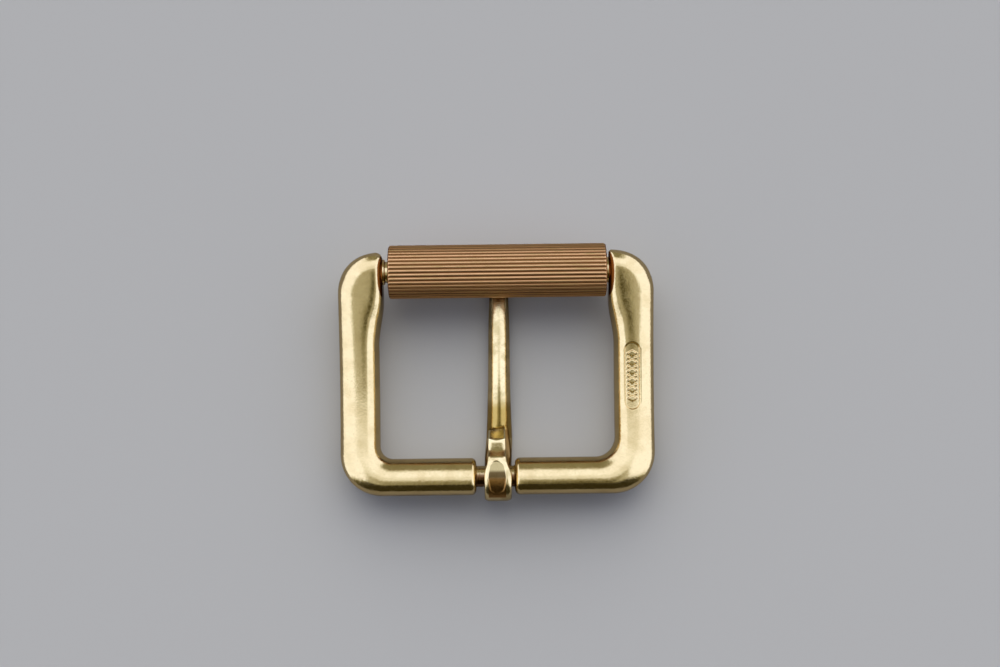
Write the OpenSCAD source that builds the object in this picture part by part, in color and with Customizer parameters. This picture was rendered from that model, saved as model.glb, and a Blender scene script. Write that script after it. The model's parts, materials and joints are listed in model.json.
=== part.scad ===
// Roller buckle for a flat strap, lying on its face with its back upwards.
// Three pieces: a bowed cast frame, a fluted roller on its end bar and a tongue
// whose eye turns on the neck of the heel bar. Sizes are in millimetres.
// X runs across the strap, Y runs from the heel bar to the roller, Z is up.

/* [Opening] */
// Clear width between the two side bars
strap_w = 40; // [30:1:60]
// Distance from the axis of the heel bar to the axis of the roller
reach = 34.9; // [32:0.1:50]

/* [Side bars] */
// Width of a side bar, seen from above
bar_w = 6.75; // [5:0.05:9]
// Thickness of a side bar, face to back
bar_t = 6.2; // [5.6:0.1:8]
// Radius of the bow that lifts both ends off the table
bow_r = 80; // [70:1:200]
// Distance from the heel bar axis to the lowest place of the bow
bow_low = 13.6; // [8:0.1:16]
// Radius of the outer corners, in plan
corner_r = 7.2; // [6:0.1:8]
// Radius of the inner corner at the heel, left and right
inner_r = [2.2, 3.4]; // [1:0.1:6]

/* [Heel bar] */
// Width of the heel bar, seen from above
heel_w = 6.3; // [5:0.1:8]
// Thickness of the heel bar
heel_t = 6; // [4.5:0.1:8]
// Width of the notch that keeps the tongue in the middle
notch_w = 6.6; // [5.6:0.1:12]
// How far the notch sits off the middle
notch_x = -0.4; // [-1:0.1:1]
// Rounding of the two shoulders beside the notch
shoulder_r = 0.6; // [0.2:0.1:1.2]
// Diameter of the neck that the tongue turns on
neck_d = 3.6; // [2.5:0.1:4.5]

/* [Roller bar] */
// Diameter of the bar that carries the roller
pin_d = 3.6; // [2.5:0.1:5]
// Width of the end of a side bar at the roller, along Y
boss_w = 6.7; // [5.5:0.1:8]
// Thickness of the end of a side bar at the roller
boss_t = 6.4; // [5.6:0.1:8]
// How far each end of the side bars reaches into the strap width
boss_in = 0.9; // [0.3:0.1:2]
// Rounding of the flat end face that looks at the roller
boss_edge = 0.3; // [0.1:0.05:0.6]
// Length over which the end widens out of the side bar
boss_flare = 6; // [2:0.1:9]

/* [Roller] */
// Diameter over the ridges
roller_d = 9.04; // [7:0.02:12]
// End play, left and right of the roller
end_gap = [1.0, 0.4]; // [0.2:0.1:2]
// Number of flutes round the roller
flutes = 40; // [24:1:60]
// Depth of a flute
flute_deep = 0.22; // [0.1:0.01:0.4]
// Chamfer at both ends
roller_chamfer = 0.35; // [0.1:0.05:0.8]

/* [Tongue] */
// Thickness of the tongue and of its eye's wall
tongue_t = 2.3; // [1.6:0.1:3]
// Width of the eye along the neck
eye_w = 4.6; // [3:0.1:5]
// Chamfer along both edges of the eye
eye_chamfer = 0.5; // [0.1:0.05:0.9]
// Width of the shank beside the eye
shank_w = 4.8; // [3:0.1:5]
// Width of the end that is folded over the shank
lap_w = 3; // [2:0.1:4]
// How far the folded end reaches from the neck axis
lap_l = 8.1; // [6.5:0.1:12]
// How far in front of the neck axis the shank begins, inside the eye
root_in = 1; // [0.5:0.1:1.5]
// Where the eye sits along the neck
tongue_x = -0.1; // [-0.4:0.1:0.2]
// How far the tip leans to the right of the eye
tip_lean = 0.5; // [-0.5:0.1:1]

/* [Clearances] */
// Radial running clearance of the eye on its neck and of the roller on its bar
bore_gap = 0.1; // [0.05:0.01:0.3]
// Gap between the tongue and the roller, and between the tongue and the table
rest_gap = 0.15; // [0.1:0.05:0.3]

/* [Cast panel] */
// Length of the sunk panel on the right side bar
panel_l = 11.2; // [6:0.1:14]
// Width of the panel
panel_w = 2.5; // [1.5:0.1:3.5]
// Depth of the panel
panel_deep = 0.35; // [0.2:0.05:0.6]
// Distance of its middle from the heel bar axis
panel_y = 17; // [12:0.1:20]
// Number of raised lozenges in the panel, with a bead between each two
lozenges = 6; // [2:1:8]
// Height of the raised pattern above the floor of the panel
relief = 0.25; // [0.1:0.05:0.5]

/* [Hidden] */
$fn = 48;
brass = "#c9a646";
copper = "#a9714b";

// Places that follow from the sizes above
eye_r = neck_d / 2 + bore_gap + tongue_t;
heel_y = -(reach + roller_d / 2 - eye_r) / 2;
roller_y = heel_y + reach;
low_y = heel_y + bow_low;
outer_x = strap_w / 2 + bar_w;
face_x = strap_w / 2 - boss_in;
heel_z = mid_z(heel_y);
roller_z = mid_z(roller_y);
roller_len = 2 * face_x - end_gap[0] - end_gap[1];

// Height of the middle of the bars at a place along Y
function mid_z(y) = bar_t / 2 + bow_r - sqrt(pow(bow_r, 2) - pow(y - low_y, 2));
function mix(a, b, k) = a + (b - a) * k;
function ease(k) = let (c = min(1, max(0, k))) c * c * (3 - 2 * c);

// A quarter of the cross section as shares of its half width and half height,
// from the crown to the widest place
// [across, up]
FULL = [
    [0, 1], [0.16, 0.996], [0.35, 0.975], [0.56, 0.91], [0.74, 0.80], [0.88, 0.67], [0.965, 0.52], [1, 0.33]
];
ROUND = [
    [0, 1], [0.22, 0.975], [0.43, 0.903], [0.62, 0.785],
    [0.78, 0.626], [0.90, 0.436], [0.975, 0.235], [1, 0.08]
];

// Closed outline of a section that is FULL or ROUND on either side
// Each point is [share across, share up], counter-clockwise from the outer crown
function outline(outer, inner) = concat(
    [for (p = outer) p],
    [for (i = [len(outer) - 1:-1:0]) [outer[i][0], -outer[i][1]]],
    [for (i = [1:len(inner) - 1]) [-inner[i][0], -inner[i][1]]],
    [for (i = [len(inner) - 1:-1:1]) [-inner[i][0], inner[i][1]]]
);

// One ring of a swept bar between an outer and an inner point of the plan
function ring(out, in, z, half_t, shape, shrink = 0) =
    let (
        mid = (out + in) / 2,
        half = norm(out - in) / 2,
        dir = (out - in) / (2 * half)
    )
    [for (p = shape)
        [
            mid[0] + dir[0] * (half - shrink) * p[0],
            mid[1] + dir[1] * (half - shrink) * p[0],
            z + (half_t - shrink) * p[1]
        ]];

// Skin over a list of rings with a flat cap at both ends
module skin(rings) {
    n = len(rings[0]);
    last = (len(rings) - 1) * n;
    polyhedron(
        points = [for (r = rings) each r],
        faces = concat(
            [for (i = [0:len(rings) - 2], j = [0:n - 1])
                let (a = i * n + j, b = i * n + (j + 1) % n)
                each [[a, b, b + n], [a, b + n, a + n]]],
            [[for (j = [n - 1:-1:0]) j]],
            [[for (j = [0:n - 1]) last + j]]
        ),
        convexity = 8
    );
}

// Rounding of a flat end: shares of the radius as [shrink, way in from the end]
END_ROUND = [[1, 0], [0.6, 0.08], [0.29, 0.29], [0.08, 0.6], [0, 1]];

// Angles that step round a corner
CORNER_STEPS = [for (i = [1:9]) i / 10];
// Shares of a side bar from the roller end to the heel corner
SIDE_STEPS = [0, 0.04, 0.08, 0.12, 0.16, 0.2, 0.25, 0.31, 0.38, 0.46, 0.54, 0.63, 0.72, 0.81, 0.9, 1];
// Shares of the heel bar from its corner to the notch, the last of them fully round
HEEL_STEPS = [0, 0.2, 0.4, 0.6, 0.8];

// Rings of one half of the frame, on the side where X is positive
function half_rings(heel_in_r, shoulder_x) =
    let (
        boss_top = roller_y + boss_w / 2,
        boss_foot = roller_y - boss_w / 2 - bar_w / 4,
        arc_x = outer_x - face_x,
        heel_out = heel_y - heel_w / 2,
        heel_in = heel_y + heel_w / 2,
        side_top = [boss_top - corner_r, boss_foot],
        side_end = [heel_out + corner_r, heel_in + heel_in_r],
        flare_k = boss_flare / (side_top[1] - side_end[1]),
        bar_shape = outline(FULL, ROUND),
        round_shape = outline(ROUND, ROUND)
    )
    concat(
        [for (e = END_ROUND)
            let (
                x = face_x + e[1] * boss_edge,
                a = acos(e[1] * boss_edge / arc_x)
            )
            ring(
                [x, side_top[0] + corner_r * sin(a)], [x, roller_y - boss_w / 2],
                roller_z, boss_t / 2, bar_shape, e[0] * boss_edge
            )],
        [for (k = CORNER_STEPS)
            let (
                a = 90 * (1 - k),
                out = [face_x + arc_x * cos(a), side_top[0] + corner_r * sin(a)],
                in = [face_x + boss_edge * pow(1 - k, 3), mix(boss_foot, roller_y - boss_w / 2, 1 - k)]
            )
            ring(out, in, mid_z((out[1] + in[1]) / 2), boss_t / 2, bar_shape)],
        [for (s = SIDE_STEPS)
            let (
                out = [outer_x, mix(side_top[0], side_end[0], s)],
                in = [strap_w / 2 - boss_in * (1 - ease(s / flare_k)), mix(side_top[1], side_end[1], s)]
            )
            ring(out, in, mid_z((out[1] + in[1]) / 2), mix(boss_t, bar_t, ease(s / flare_k)) / 2, bar_shape)],
        [for (k = CORNER_STEPS)
            let (
                a = 90 * k,
                out = [outer_x - corner_r * (1 - cos(a)), side_end[0] - corner_r * sin(a)],
                in = [strap_w / 2 - heel_in_r * (1 - cos(a)), side_end[1] - heel_in_r * sin(a)],
                turn = ease(k)
            )
            ring(
                out, in, mix(mid_z((out[1] + in[1]) / 2), heel_z, turn),
                mix(bar_t, heel_t, turn) / 2, bar_shape
            )],
        [for (k = HEEL_STEPS)
            ring(
                [mix(outer_x - corner_r, shoulder_x + shoulder_r, k), heel_out],
                [mix(strap_w / 2 - heel_in_r, shoulder_x + shoulder_r, k), heel_in],
                heel_z, heel_t / 2,
                [for (i = [0:len(bar_shape) - 1])
                    mix(bar_shape[i], round_shape[i], ease(k / max(HEEL_STEPS)))]
            )],
        [for (i = [len(END_ROUND) - 1:-1:0])
            let (e = END_ROUND[i], x = shoulder_x + e[1] * shoulder_r)
            ring([x, heel_out], [x, heel_in], heel_z, heel_t / 2, round_shape, e[0] * shoulder_r)]
    );

// A round bar along X between two places
module cross_bar(from_x, to_x, y, z, d) {
    translate([from_x, y, z])
        rotate([0, 90, 0])
            cylinder(d = d, h = to_x - from_x);
}

// Height of the crown of a side bar at a place along Y
function crown_z(y) = mid_z(y) + bar_t / 2;

// Half width of the panel at a place along it, round at both ends
function panel_half(y) =
    let (from_end = panel_l / 2 - abs(y), r = panel_w / 2)
    from_end >= r ? r : sqrt(pow(r, 2) - pow(r - from_end, 2));

// Shares of the panel's half length where its outline is cut into sections
PANEL_STEPS = [-0.998, -0.97, -0.93, -0.86, -0.77, -0.5, -0.25, 0, 0.25, 0.5, 0.77, 0.86, 0.93, 0.97, 0.998];

// Space that is sunk into the right side bar
module panel_space() {
    mid_x = strap_w / 2 + bar_w / 2;
    mid_y = heel_y + panel_y;
    skin([for (s = PANEL_STEPS)
        let (
            y = mid_y + s * panel_l / 2,
            w = panel_half(s * panel_l / 2),
            floor_z = crown_z(y) - panel_deep,
            top_z = crown_z(y) + panel_deep
        )
        [[mid_x + w, y, floor_z], [mid_x + w, y, top_z], [mid_x - w, y, top_z], [mid_x - w, y, floor_z]]]);
}

// Half of a lozenge as a share of its pitch and of the panel's width
LOZENGE_HALF = 0.36;
// Diameter of a bead and its distance from the middle, as shares of the panel's width
BEAD = [0.18, 0.24];

// Raised row of lozenges with beads between them
module panel_relief() {
    pitch = (panel_l - panel_w) / (lozenges - 0.2);
    lozenge = [pitch * LOZENGE_HALF, panel_w * LOZENGE_HALF];
    for (i = [0:lozenges - 1]) {
        y = heel_y + panel_y + (i - (lozenges - 1) / 2) * pitch;
        translate([strap_w / 2 + bar_w / 2, y, crown_z(y) - panel_deep - relief])
            linear_extrude(2 * relief)
                polygon([[lozenge[1], 0], [0, lozenge[0]], [-lozenge[1], 0], [0, -lozenge[0]]]);
        if (i > 0)
            for (side = [-1, 1])
                translate([
                    strap_w / 2 + bar_w / 2 + side * panel_w * BEAD[1], y - pitch / 2,
                    crown_z(y - pitch / 2) - panel_deep - relief
                ])
                    cylinder(d = panel_w * BEAD[0], h = 2 * relief, $fn = 12);
    }
}

// The cast frame: two side bars, the heel bar with its neck, and the roller bar
module frame() {
    bury = 2 * shoulder_r;
    color(brass) {
        difference() {
            union() {
                skin(half_rings(inner_r[1], notch_w / 2 + notch_x));
                mirror([1, 0, 0])
                    skin(half_rings(inner_r[0], notch_w / 2 - notch_x));
                cross_bar(
                    notch_x - notch_w / 2 - bury, notch_x + notch_w / 2 + bury, heel_y, heel_z, neck_d
                );
                cross_bar(-face_x - bury, face_x + bury, roller_y, roller_z, pin_d);
            }
            panel_space();
        }
        panel_relief();
    }
}

// Outline of the fluted roller: flat ridges with a narrow valley between them
function flute_outline() =
    let (step = 360 / flutes, top = roller_d / 2, low = top - flute_deep)
    [for (i = [0:flutes - 1])
        for (q = [[-0.24, top], [0.24, top], [0.44, low], [0.56, low]])
            q[1] * [cos((i + q[0]) * step), sin((i + q[0]) * step)]];

// The roller, a fluted tube with a plain bore
module roller() {
    bore = pin_d + 2 * bore_gap;
    blank_r = roller_d / 2 + bore_gap / 2;
    blank_chamfer = roller_chamfer + bore_gap / 2;
    color(copper)
        translate([-face_x + end_gap[0], roller_y, roller_z])
            rotate([0, 90, 0])
                difference() {
                    intersection() {
                        linear_extrude(roller_len)
                            polygon(flute_outline());
                        rotate_extrude()
                            polygon([
                                [0, 0], [roller_d / 2 - roller_chamfer, 0],
                                [blank_r, blank_chamfer], [blank_r, roller_len - blank_chamfer],
                                [roller_d / 2 - roller_chamfer, roller_len], [0, roller_len]
                            ]);
                    }
                    translate([0, 0, -roller_chamfer])
                        cylinder(d = bore, h = roller_len + 2 * roller_chamfer);
                }
}

// Heights of the tongue's underside: its tip rests just off the table under the
// roller, its root meets the eye, and between them it arches up towards the back
tip_low = rest_gap;
ring_low = heel_z - eye_r;

// Sections of the shank from its root under the neck to its tip
// [share of the way to the tip, share of the width, lift of the underside, thickness share]
SHANK = [
    [0.00, 0.94, 0.00, 1.00], [0.05, 0.97, 0.02, 1.00], [0.10, 0.95, 0.10, 1.00],
    [0.16, 0.91, 0.26, 1.00], [0.23, 0.87, 0.52, 1.00], [0.31, 0.83, 0.78, 1.00],
    [0.39, 0.795, 0.96, 0.97], [0.47, 0.78, 1.00, 0.94], [0.55, 0.77, 0.96, 0.90],
    [0.63, 0.76, 0.82, 0.86], [0.71, 0.735, 0.60, 0.79], [0.79, 0.69, 0.34, 0.71],
    [0.86, 0.65, 0.13, 0.61], [0.91, 0.61, 0.03, 0.51], [0.95, 0.55, 0.00, 0.47],
    [0.975, 0.46, 0.02, 0.42], [0.992, 0.35, 0.07, 0.33], [1.00, 0.22, 0.13, 0.22]
];
// How high the middle of the shank arches off the line from eye to tip
arch = 1.25;
// How far the tip reaches past the roller axis
tip_past = 2.9;

// Sections of the folded end, from inside the eye to the seam
// [share of its length, share of its width, share of the height over the shank]
LAP = [
    [0.00, 1.10, 1.00], [0.15, 1.06, 0.975], [0.28, 1.02, 0.925], [0.40, 1.00, 0.85],
    [0.50, 1.00, 0.745], [0.60, 1.00, 0.61], [0.72, 0.98, 0.485], [0.79, 0.94, 0.445],
    [0.88, 0.90, 0.26], [0.96, 0.88, 0.06], [1.00, 0.86, -0.04]
];

// Ring of a bar that runs along Y
function y_ring(x, y, half_w, low, top, shape) =
    [for (p = shape) [x - half_w * p[0], y, (low + top) / 2 + (top - low) / 2 * p[1]]];

// Underside of the shank at one row of the table
function shank_low(row) = mix(ring_low, tip_low, row[0]) + arch * row[2];
function shank_y(row) = mix(heel_y + root_in, roller_y + tip_past, row[0]);
function shank_top(y) =
    let (rows = [for (r = SHANK) if (shank_y(r) >= y) r])
    shank_low(rows[0]) + tongue_t * rows[0][3];

// The tongue: shank, eye and folded end in one piece
module tongue() {
    shape = outline(FULL, FULL);
    lap_top = heel_z + eye_r;
    lap_foot = shank_top(heel_y + lap_l);
    color(brass)
        difference() {
            union() {
                skin([for (r = SHANK)
                    y_ring(
                        tongue_x + tip_lean * r[0], shank_y(r), shank_w / 2 * r[1],
                        shank_low(r), shank_low(r) + tongue_t * r[3], shape
                    )]);
                translate([tongue_x - eye_w / 2, heel_y, heel_z])
                    rotate([0, 90, 0])
                        rotate_extrude()
                            polygon([
                                [0, 0], [eye_r - eye_chamfer, 0], [eye_r, eye_chamfer],
                                [eye_r, eye_w - eye_chamfer], [eye_r - eye_chamfer, eye_w], [0, eye_w]
                            ]);
                skin([for (r = LAP)
                    y_ring(
                        tongue_x + tip_lean * lap_l / reach * r[0], heel_y + lap_l * r[0],
                        lap_w / 2 * r[1], lap_foot - tongue_t / 2,
                        mix(lap_foot, lap_top, r[2]), shape
                    )]);
            }
            cross_bar(tongue_x - eye_w, tongue_x + eye_w, heel_y, heel_z, neck_d + 2 * bore_gap);
        }
}

frame();
roller();
tongue();
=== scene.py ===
import json
from bisect import bisect_left
from math import acos, atan2, cos, hypot, pi, radians, sin, sqrt, tau

import bmesh
import bpy
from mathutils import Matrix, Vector


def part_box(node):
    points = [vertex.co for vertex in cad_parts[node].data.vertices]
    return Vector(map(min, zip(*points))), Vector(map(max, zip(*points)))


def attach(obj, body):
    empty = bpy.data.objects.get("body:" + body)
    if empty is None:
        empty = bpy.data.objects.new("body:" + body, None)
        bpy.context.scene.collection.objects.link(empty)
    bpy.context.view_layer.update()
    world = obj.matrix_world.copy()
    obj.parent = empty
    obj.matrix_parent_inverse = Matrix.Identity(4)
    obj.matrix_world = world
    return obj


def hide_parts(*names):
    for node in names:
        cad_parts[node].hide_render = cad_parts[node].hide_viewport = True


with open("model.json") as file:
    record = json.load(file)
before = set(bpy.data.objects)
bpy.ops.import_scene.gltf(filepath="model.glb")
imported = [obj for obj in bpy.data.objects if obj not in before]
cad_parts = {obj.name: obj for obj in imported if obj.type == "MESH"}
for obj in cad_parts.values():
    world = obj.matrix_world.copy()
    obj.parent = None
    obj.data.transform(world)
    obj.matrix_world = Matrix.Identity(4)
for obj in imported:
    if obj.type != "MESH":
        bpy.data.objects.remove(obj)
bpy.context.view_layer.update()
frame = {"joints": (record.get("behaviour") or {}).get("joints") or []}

# Every length below is in millimetres, and meshes are scaled to metres when they are finished.
mm = 0.001


def jointPlace(name):
    joint = next(j for j in frame["joints"] if j["name"] == name)
    return Vector(joint["pos_m"]) / mm


heelAxis = jointPlace("tongue_hinge")
rollerAxis = jointPlace("roller_spin")
rollerLow, rollerHigh = (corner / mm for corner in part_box("roller"))


# Small sums

def mix(a, b, share):
    return a + (b - a) * share


def ramp(value, low, high):
    share = min(1.0, max(0.0, (value - low) / (high - low)))
    return share * share * (3 - 2 * share)


# Mesh work

def addRing(bm, places):
    ring = bmesh.ops.create_circle(bm, cap_ends=False, segments=len(places), radius=1.0)["verts"]
    for vert, place in zip(ring, places):
        vert.co = place
    return list({edge for vert in ring for edge in vert.link_edges})


def loftRings(bm, rings, closed):
    loops = [addRing(bm, places) for places in rings]
    pairs = list(zip(loops, loops[1:]))
    if closed:
        pairs.append((loops[-1], loops[0]))
    for one, other in pairs:
        bmesh.ops.bridge_loops(bm, edges=one + other)
    if not closed:
        bmesh.ops.edgeloop_fill(bm, edges=loops[0])
        bmesh.ops.edgeloop_fill(bm, edges=loops[-1])


def newObject(bm, name):
    mesh = bpy.data.meshes.new(name)
    bm.to_mesh(mesh)
    bm.free()
    piece = bpy.data.objects.new(name, mesh)
    bpy.context.collection.objects.link(piece)
    return piece


def finishPiece(bm, name, node, material):
    bmesh.ops.recalc_face_normals(bm, faces=bm.faces)
    bmesh.ops.scale(bm, vec=(mm, mm, mm), verts=bm.verts)
    piece = newObject(bm, name)
    piece.data.shade_smooth()
    piece.data.materials.append(material)
    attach(piece, node)
    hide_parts(node)
    print(name, "has", len(piece.data.polygons), "faces")


# Material work

class Nodes:
    def __init__(self, tree):
        self.tree = tree

    def add(self, kind, **settings):
        node = self.tree.nodes.new(kind)
        for key, value in settings.items():
            setattr(node, key, value)
        return node

    def feed(self, socket, value):
        if isinstance(value, bpy.types.NodeSocket):
            self.tree.links.new(value, socket)
        else:
            socket.default_value = value

    def maths(self, operation, a, b=0.0):
        node = self.add("ShaderNodeMath", operation=operation)
        self.feed(node.inputs[0], a)
        self.feed(node.inputs[1], b)
        return node.outputs[0]

    def product(self, value, *others):
        for other in others:
            value = self.maths("MULTIPLY", value, other)
        return value

    def away(self, a, b):
        return self.maths("ABSOLUTE", self.maths("SUBTRACT", a, b))

    def smooth(self, value, low, high, start=0.0, end=1.0):
        node = self.add("ShaderNodeMapRange", interpolation_type="SMOOTHSTEP")
        for socket, item in zip(node.inputs, (value, low, high, start, end)):
            self.feed(socket, item)
        return node.outputs[0]

    def step(self, value, origin, edge, start=0.0, end=1.0):
        # A smooth step between two lengths that count from an origin
        return self.smooth(value, (origin + edge[0]) * mm, (origin + edge[1]) * mm, start, end)

    def blend(self, share, a, b):
        node = self.add("ShaderNodeMix", data_type="RGBA")
        self.feed(node.inputs["Factor"], share)
        self.feed(node.inputs[6], a)
        self.feed(node.inputs[7], b)
        return node.outputs[2]

    def place(self):
        return self.add("ShaderNodeTexCoord").outputs["Object"]

    def axes(self, vector):
        node = self.add("ShaderNodeSeparateXYZ")
        self.feed(node.inputs[0], vector)
        return node.outputs

    def radial(self, y, z, axis):
        # Distance from an axis along X
        along = self.maths("SUBTRACT", y, axis.y * mm)
        up = self.maths("SUBTRACT", z, axis.z * mm)
        return self.maths("SQRT", self.maths("ADD", self.product(along, along), self.product(up, up)))

    def noise(self, vector, size, detail=3.0, rough=0.55):
        node = self.add("ShaderNodeTexNoise")
        self.feed(node.inputs["Vector"], vector)
        node.inputs["Scale"].default_value = 1 / (size * mm)
        node.inputs["Detail"].default_value = detail
        node.inputs["Roughness"].default_value = rough
        return node.outputs["Fac"]


def newMaterial(name, metallic=1.0):
    material = bpy.data.materials.new(name)
    material.use_nodes = True
    nodes = Nodes(material.node_tree)
    shader = material.node_tree.nodes["Principled BSDF"]
    shader.inputs["Metallic"].default_value = metallic
    return material, nodes, shader


def bumpInto(nodes, shader, height, depth, before=None):
    bump = nodes.add("ShaderNodeBump")
    bump.inputs["Distance"].default_value = depth * mm
    nodes.feed(bump.inputs["Height"], height)
    if before is not None:
        nodes.feed(bump.inputs["Normal"], before)
    nodes.feed(shader.inputs["Normal"], bump.outputs[0])
    return bump.outputs[0]


# Cast brass of the frame

castBrass = {
    "polished": (0.80, 0.62, 0.30, 1), "tarnished": (0.60, 0.43, 0.17, 1), "shadeAndPatina": (0.12, 0.042, 0.012, 1),
    "roughness": (0.12, 0.22), "cloudSize": 3.5, "cloudRange": (0.42, 0.68), "tarnish": 0.4,
    "speckSize": 0.22, "speckRange": (0.60, 0.72), "specks": 0.35,
    "grainSize": 0.35, "grainRange": (0.3, 0.7), "grainDepth": 0.012, "waveSize": 4.0, "waveDepth": 0.04,
    # Painted shade, with reddish patina, in the notch round the neck and on the boss faces by the roller:
    # its strength, and the edges counted from the part in their name
    "paintedShade": 0.92, "heelEdge": (6, 4), "notchEdge": (0.4, -0.1), "neckEdge": (1.0, 0.2), "neckLeast": 0.1,
    "rollerEdge": (-5, -4), "faceEdge": (0.2, 0.02), "faceInside": (-1.3, -0.9), "footEdge": (0.07, 0.35),
}


def castBrassMaterial(notchX, notchHalf, faceX, footRadius):
    look = castBrass
    material, nodes, shader = newMaterial("castBrass")
    place = nodes.place()
    x, y, z = nodes.axes(place)[0:3]
    cloud = nodes.noise(place, look["cloudSize"], 4.0)
    grain = nodes.noise(place, look["grainSize"], 2.0)
    speck = nodes.noise(place, look["speckSize"], 1.0)
    patch = nodes.product(nodes.smooth(cloud, *look["cloudRange"]), look["tarnish"])
    colour = nodes.blend(patch, look["polished"], look["tarnished"])
    specks = nodes.product(nodes.smooth(speck, *look["speckRange"]), look["specks"])
    colour = nodes.blend(specks, colour, look["tarnished"])
    # Painted shade with reddish patina: the notch round the neck, darkest below the neck's axis, and the
    # boss faces beside the roller are painted dark
    fromNotch = nodes.away(x, notchX * mm)
    inNotch = nodes.product(
        nodes.step(y, heelAxis.y, look["heelEdge"]), nodes.step(fromNotch, notchHalf, look["notchEdge"]),
        nodes.step(y, heelAxis.y, look["neckEdge"], look["neckLeast"]),
    )
    across = nodes.maths("ABSOLUTE", x)
    onFace = nodes.product(
        nodes.step(across, faceX, look["faceEdge"]), nodes.step(across, faceX, look["faceInside"]),
        nodes.step(nodes.radial(y, z, rollerAxis), footRadius, look["footEdge"]),
        nodes.step(y, rollerAxis.y, look["rollerEdge"]),
    )
    shadeAndPatina = nodes.product(nodes.maths("MAXIMUM", inNotch, onFace), look["paintedShade"])
    nodes.feed(shader.inputs["Base Color"], nodes.blend(shadeAndPatina, colour, look["shadeAndPatina"]))
    nodes.feed(shader.inputs["Roughness"], nodes.smooth(grain, *look["grainRange"], *look["roughness"]))
    wave = bumpInto(nodes, shader, nodes.noise(place, look["waveSize"], 1.0), look["waveDepth"])
    bumpInto(nodes, shader, grain, look["grainDepth"], wave)
    return material


# Worn copper of the roller

rollerCopper = {
    "ridge": (0.71, 0.40, 0.175, 1), "valley": (0.24, 0.09, 0.024, 1), "olive": (0.56, 0.35, 0.13, 1),
    "ridgeFrom": 0.8, "ridgeTo": 0.25, "streak": (0.12, 1, 1), "wearSize": 0.5, "oliveRange": (0.45, 0.7),
    "roughness": (0.32, 0.47), "roughRange": (0.3, 0.8), "grainSize": 0.15, "grainDepth": 0.01,
}


def rollerCopperMaterial(radius, depth):
    look = rollerCopper
    material, nodes, shader = newMaterial("rollerCopper")
    place = nodes.place()
    y, z = nodes.axes(place)[1:3]
    # The flute valleys are painted dark, as painted shade in the grooves
    ridgeEdge = (-depth * look["ridgeFrom"], -depth * look["ridgeTo"])
    onRidge = nodes.step(nodes.radial(y, z, rollerAxis), radius, ridgeEdge)
    streak = nodes.add("ShaderNodeMapping")
    streak.inputs["Scale"].default_value = look["streak"]
    nodes.feed(streak.inputs["Vector"], place)
    wear = nodes.noise(streak.outputs[0], look["wearSize"], 3.0)
    ridge = nodes.blend(nodes.smooth(wear, *look["oliveRange"]), look["ridge"], look["olive"])
    nodes.feed(shader.inputs["Base Color"], nodes.blend(onRidge, look["valley"], ridge))
    nodes.feed(shader.inputs["Roughness"], nodes.smooth(wear, *look["roughRange"], *look["roughness"]))
    bumpInto(nodes, shader, nodes.noise(streak.outputs[0], look["grainSize"], 2.0), look["grainDepth"])
    return material


# Brass of the tongue

tongueBrass = {
    "polished": (0.86, 0.68, 0.34, 1), "dull": (0.60, 0.46, 0.20, 1), "seam": (0.41, 0.26, 0.045, 1),
    "facetLight": (1.0, 0.88, 0.50, 1), "paintedShade": (0.17, 0.09, 0.022, 1), "roughness": (0.15, 0.25),
    "cloudSize": 2.2, "cloudRange": (0.4, 0.7),
    "grainSize": 0.3, "grainRange": (0.3, 0.7), "grainDepth": 0.012,
    # Edges of the colours, counted from the seam, the roller, the heel bar or the shank's back
    "seamMiddle": -0.9, "seamEdge": (6.6, 4.0), "seamShare": 0.85, "lapEdge": (-1.9, -1.7),
    "facetEdge": (0.0, -0.2), "facetHeight": (0.05, 0.25), "rollerEdge": (-5.7, -4.4), "rollerShare": 0.8,
    "besideEdge": (0.1, -0.5), "besideShare": 0.95, "besideTop": (0.15, 0.0), "besideFoot": (-1.3, -0.9),
    "heelEdge": (0.0, 1.0),
}

eyePanel = {  # the dull sunk panel on the back of the eye
    "half": 1.55, "halfFront": 1.12, "widens": 3.0, "off": -0.14, "front": 2.95, "arch": 0.75, "rear": 54,
    "edge": 0.14, "deep": 0.14, "frontEdge": (0.0, -0.2), "rearEdge": (-0.1, 0.1),
    "high": (0.46, 0.36, 0.15, 1), "mid": (0.07, 0.035, 0.004, 1), "low": (0.29, 0.13, 0.022, 1),
    "highEdge": (1.5, 0.9), "midEdge": (0.3, -0.4), "dullness": 0.92, "rougher": 0.12,
}


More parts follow.
